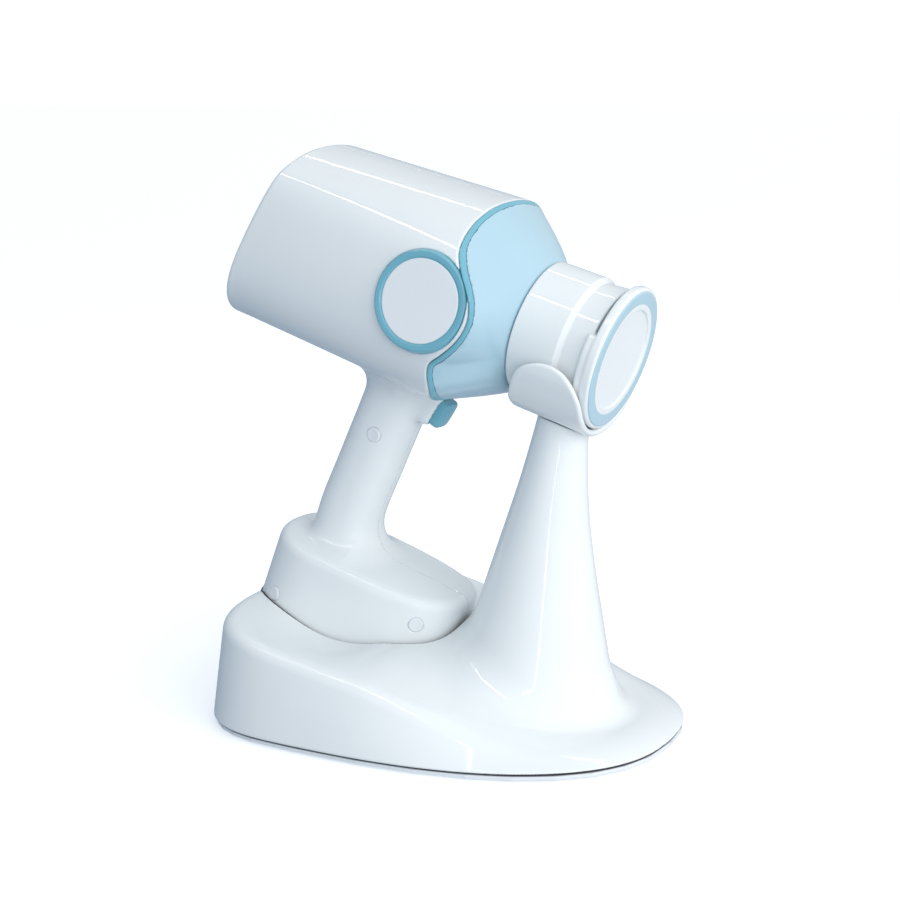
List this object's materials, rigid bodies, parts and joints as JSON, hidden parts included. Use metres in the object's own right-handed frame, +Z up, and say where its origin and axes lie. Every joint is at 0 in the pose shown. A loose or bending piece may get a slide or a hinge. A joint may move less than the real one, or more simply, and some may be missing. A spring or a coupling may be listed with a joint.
{
  "type": "handheld dental x-ray unit on a desk charging stand",
  "caption": "Handheld dental X-ray generator with round exit cone, trigger and battery grip, docked on a curved desk stand that carries the cone and charges the handset.",
  "frame": {"origin": "on the desk, in the middle of the bounding box's footprint", "axes": "+Z up, +X forward where the beam leaves, +Y to the object's left"},
  "size_m": [0.2478, 0.2, 0.3017],
  "materials": {
    "white_plastic": "glossy moulded, cool white",
    "pale_plastic": "satin-gloss moulded, cool light grey",
    "key_plastic": "satin moulded keys",
    "light_blue_plastic": "glossy moulded, pale blue",
    "mid_blue_plastic": "glossy moulded, mid blue",
    "dark_plastic": "satin dark grey",
    "display": "unlit liquid-crystal panel",
    "dark_glass": "polished dark window",
    "tube_glass": "clear borosilicate",
    "rubber": "matt dark rubber",
    "circuit_board": "green solder resist",
    "steel": "plain",
    "lead": "dull lead-tin lining",
    "battery_wrap": "heat-shrunk blue sleeve",
    "gold_contact": "gold-plated"
  },
  "bodies": {
    "stand": {"stand_shell": "white_plastic", "bottom_plate": "pale_plastic", "base_gasket": "dark_plastic", "ballast_plate": "steel", "charge_board": "circuit_board", "power_inlet": "dark_plastic", "saddle": "white_plastic", "saddle_pad": "rubber", "cradle_pad": "dark_plastic", "foot_rear_right": "rubber", "foot_rear_left": "rubber", "foot_front_right": "rubber", "foot_front_left": "rubber", "base_screw_rear_right": "steel", "base_screw_rear_left": "steel", "base_screw_front_right": "steel", "base_screw_front_left": "steel"},
    "handset": {"housing_right": "white_plastic", "housing_left": "white_plastic", "cone_collar": "white_plastic", "cone_cap": "white_plastic", "exit_window": "white_plastic", "badge_disc_right": "pale_plastic", "badge_disc_left": "pale_plastic", "rear_cover": "pale_plastic", "block_cover": "pale_plastic", "screw_cover_handle": "pale_plastic", "screw_cover_block_rear": "pale_plastic", "screw_cover_block_front": "pale_plastic", "nose_cover": "light_blue_plastic", "cone_face_ring": "light_blue_plastic", "nose_trim": "mid_blue_plastic", "badge_ring_right": "mid_blue_plastic", "badge_ring_left": "mid_blue_plastic", "trigger_switch": "dark_plastic", "display_panel": "display", "display_window": "dark_glass", "xray_tube": "tube_glass", "control_board": "circuit_board", "driver_board": "circuit_board", "generator_tank": "steel", "beam_filter": "steel", "housing_screw_handle": "steel", "housing_screw_block_rear": "steel", "housing_screw_block_front": "steel", "collimator": "lead", "battery_pack": "battery_wrap", "charge_pad_front": "gold_contact", "charge_pad_rear": "gold_contact"},
    "trigger": {"trigger": "mid_blue_plastic"},
    "key_minus": {"key_minus": "key_plastic"},
    "key_mode": {"key_mode": "key_plastic"},
    "key_plus": {"key_plus": "key_plastic"},
    "key_tooth": {"key_tooth": "key_plastic"},
    "key_power": {"key_power": "mid_blue_plastic"},
    "contact_pin_front": {"contact_pin_front": "gold_contact"},
    "contact_pin_rear": {"contact_pin_rear": "gold_contact"}
  },
  "joints": [
    {"name": "handset_lift", "type": "slide", "parent": "stand", "child": "handset", "axis": [0.2857, 0, 0.9583], "range_m": [0, 0.09]},
    {"name": "trigger_press", "type": "slide", "parent": "handset", "child": "trigger", "axis": [-0.8425, 0, 0.5388], "range_m": [0, 0.003], "stiffness_N_per_m": 600, "springref_m": -0.001},
    {"name": "key_minus_press", "type": "slide", "parent": "handset", "child": "key_minus", "axis": [0.9074, 0, -0.4203], "range_m": [0, 0.001], "stiffness_N_per_m": 500, "springref_m": -0.0005},
    {"name": "key_mode_press", "type": "slide", "parent": "handset", "child": "key_mode", "axis": [0.9074, 0, -0.4203], "range_m": [0, 0.001], "stiffness_N_per_m": 500, "springref_m": -0.0005},
    {"name": "key_plus_press", "type": "slide", "parent": "handset", "child": "key_plus", "axis": [0.9074, 0, -0.4203], "range_m": [0, 0.001], "stiffness_N_per_m": 500, "springref_m": -0.0005},
    {"name": "key_tooth_press", "type": "slide", "parent": "handset", "child": "key_tooth", "axis": [0.9074, 0, -0.4203], "range_m": [0, 0.001], "stiffness_N_per_m": 500, "springref_m": -0.0005},
    {"name": "key_power_press", "type": "slide", "parent": "handset", "child": "key_power", "axis": [0.9074, 0, -0.4203], "range_m": [0, 0.001], "stiffness_N_per_m": 500, "springref_m": -0.0005},
    {"name": "contact_pin_front_press", "type": "slide", "parent": "stand", "child": "contact_pin_front", "axis": [-0.2857, 0, -0.9583], "range_m": [0, 0.0015], "stiffness_N_per_m": 300, "springref_m": -0.0005},
    {"name": "contact_pin_rear_press", "type": "slide", "parent": "stand", "child": "contact_pin_rear", "axis": [-0.2857, 0, -0.9583], "range_m": [0, 0.0015], "stiffness_N_per_m": 300, "springref_m": -0.0005}
  ]
}
